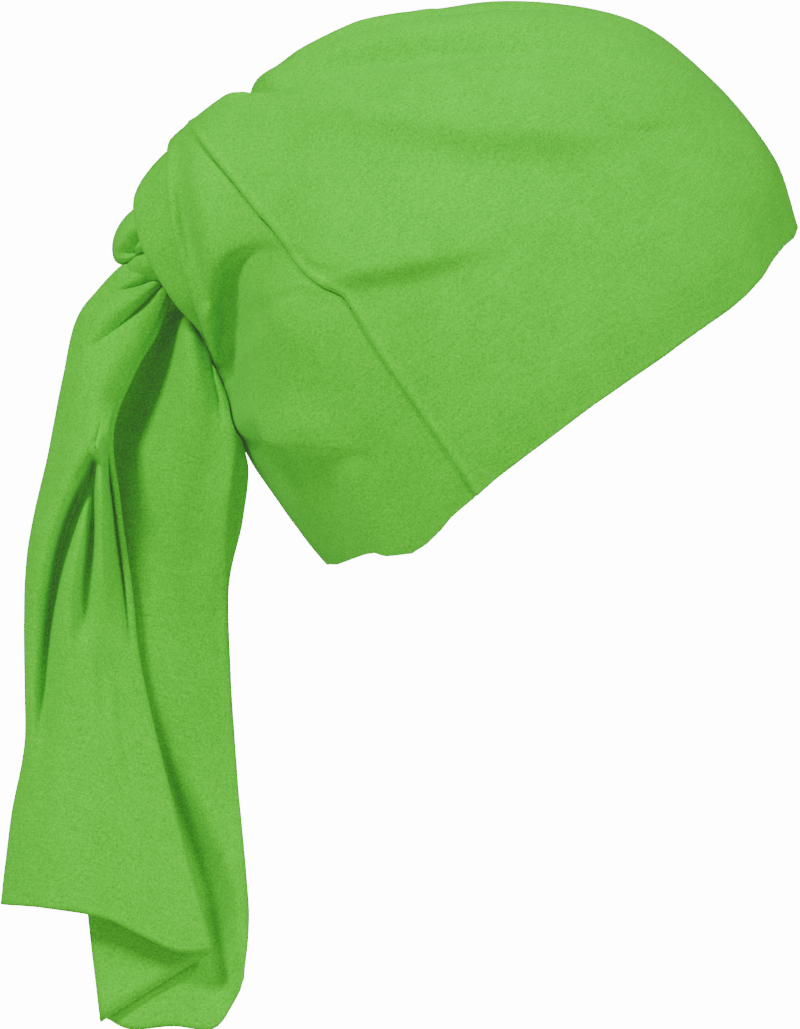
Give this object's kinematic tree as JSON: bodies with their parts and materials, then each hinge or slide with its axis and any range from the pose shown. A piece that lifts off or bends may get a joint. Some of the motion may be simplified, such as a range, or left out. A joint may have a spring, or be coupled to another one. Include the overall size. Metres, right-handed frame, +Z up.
{
  "type": "tube bandana head wrap",
  "caption": "Knitted tube bandana tied as a head wrap: a hollow stretched crown, a knotted band behind it and an open pleated tail that hangs down.",
  "frame": {"origin": "middle of the head opening, halfway between the rim at the forehead and the rim at the nape", "axes": "+X toward the forehead, +Y to the wearer's left, +Z up; the tail hangs down at -X"},
  "size_m": [0.2679, 0.1602, 0.3421],
  "materials": {
    "green_knit": "matte fine jersey knit, heathered lime green"
  },
  "bodies": {
    "root": {"crown": "green_knit", "knot_band": "green_knit", "knot_core": "green_knit", "tail": "green_knit"}
  },
  "joints": []
}
